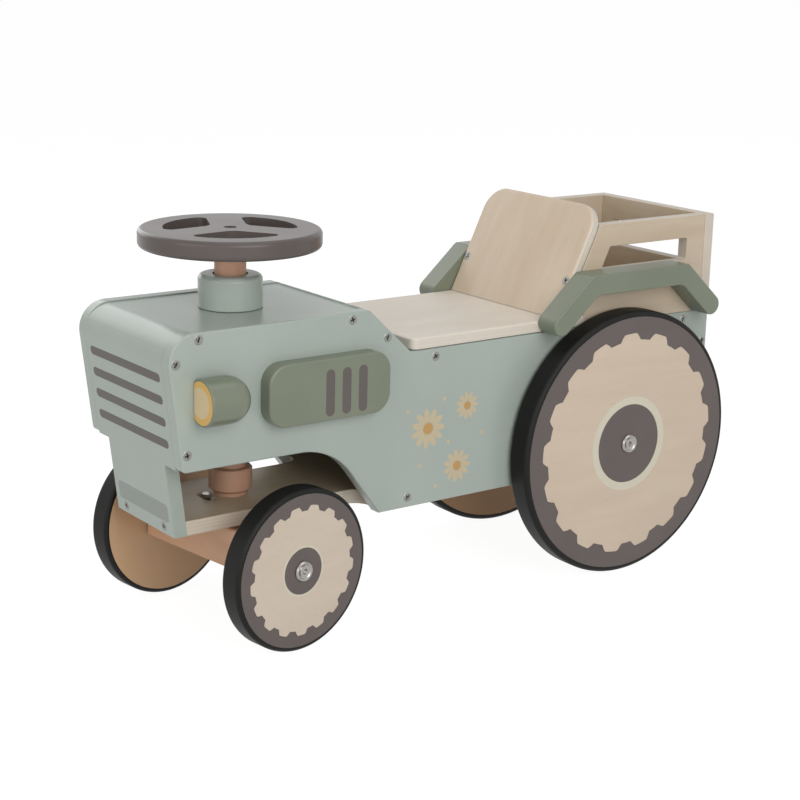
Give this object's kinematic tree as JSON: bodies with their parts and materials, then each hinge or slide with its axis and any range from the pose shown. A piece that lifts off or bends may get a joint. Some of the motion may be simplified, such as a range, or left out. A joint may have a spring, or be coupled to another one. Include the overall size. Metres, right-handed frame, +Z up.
{
  "type": "ride on toy tractor",
  "caption": "Wooden ride-on toy tractor with a steered front axle, spinning rubber-banded wheels, a seat with backrest and an open cargo box behind.",
  "frame": {"origin": "on the floor under the middle of the toy, halfway along its length", "axes": "+X towards the nose, +Y to the rider's left, +Z up"},
  "size_m": [0.556, 0.2031, 0.3217],
  "materials": {
    "sage_paint": "satin sage-green paint on birch ply, edges painted too",
    "olive_paint": "satin olive paint on solid wood",
    "taupe_paint": "satin taupe paint",
    "natural_ply": "clear satin lacquer on birch ply, layers showing on the edges",
    "beech": "clear lacquered beech",
    "tyre": "matt black rubber band",
    "steel": "zinc-plated steel",
    "nylon": "natural nylon"
  },
  "bodies": {
    "chassis": {"side_panel_left": "sage_paint", "side_panel_right": "sage_paint", "hood_front_board": "sage_paint", "hood_top_board": "sage_paint", "dash_board": "sage_paint", "base_board": "natural_ply", "tail_board": "sage_paint", "seat_rail": "sage_paint", "seat_board": "natural_ply", "backrest": "natural_ply", "cargo_side_left": "natural_ply", "cargo_side_right": "natural_ply", "cargo_back": "natural_ply", "cargo_floor": "natural_ply", "mudguard_left": "olive_paint", "mudguard_right": "olive_paint", "headlamp_left": "olive_paint", "headlamp_right": "olive_paint", "engine_block_left": "olive_paint", "engine_block_right": "olive_paint", "hood_collar": "sage_paint", "body_screws": "steel", "rear_axle": "steel", "rear_spacers": "nylon", "rear_hub_bolts": "steel"},
    "steering": {"steering_wheel": "taupe_paint", "steering_wheel_bolt": "steel", "steering_column": "beech", "column_ring": "beech", "thrust_washer": "nylon", "axle_beam": "beech", "stop_bolt": "steel", "front_axle": "steel", "front_spacers": "nylon", "front_hub_bolts": "steel"},
    "rear_wheel_left": {"rear_disc_left": "natural_ply", "rear_tyre_left": "tyre"},
    "rear_wheel_right": {"rear_disc_right": "natural_ply", "rear_tyre_right": "tyre"},
    "front_wheel_left": {"front_disc_left": "natural_ply", "front_tyre_left": "tyre"},
    "front_wheel_right": {"front_disc_right": "natural_ply", "front_tyre_right": "tyre"}
  },
  "joints": [
    {"name": "steering_turn", "type": "hinge", "parent": "chassis", "child": "steering", "pos_m": [0.18175, 0, 0.105], "axis": [0, 0, 1], "range_deg": [-27.7, 12.3]},
    {"name": "front_left_spin", "type": "hinge", "parent": "steering", "child": "front_wheel_left", "pos_m": [0.17441, 0.08417, 0.0652], "axis": [-0.134, 0.991, 0], "continuous": true},
    {"name": "rear_left_spin", "type": "hinge", "parent": "chassis", "child": "rear_wheel_left", "pos_m": [-0.16275, 0.0853, 0.1168], "axis": [0, 1, 0], "continuous": true},
    {"name": "front_right_spin", "type": "hinge", "parent": "steering", "child": "front_wheel_right", "pos_m": [0.19702, -0.0831, 0.0652], "axis": [-0.134, 0.991, 0], "continuous": true},
    {"name": "rear_right_spin", "type": "hinge", "parent": "chassis", "child": "rear_wheel_right", "pos_m": [-0.16275, -0.0853, 0.1168], "axis": [0, 1, 0], "continuous": true}
  ]
}
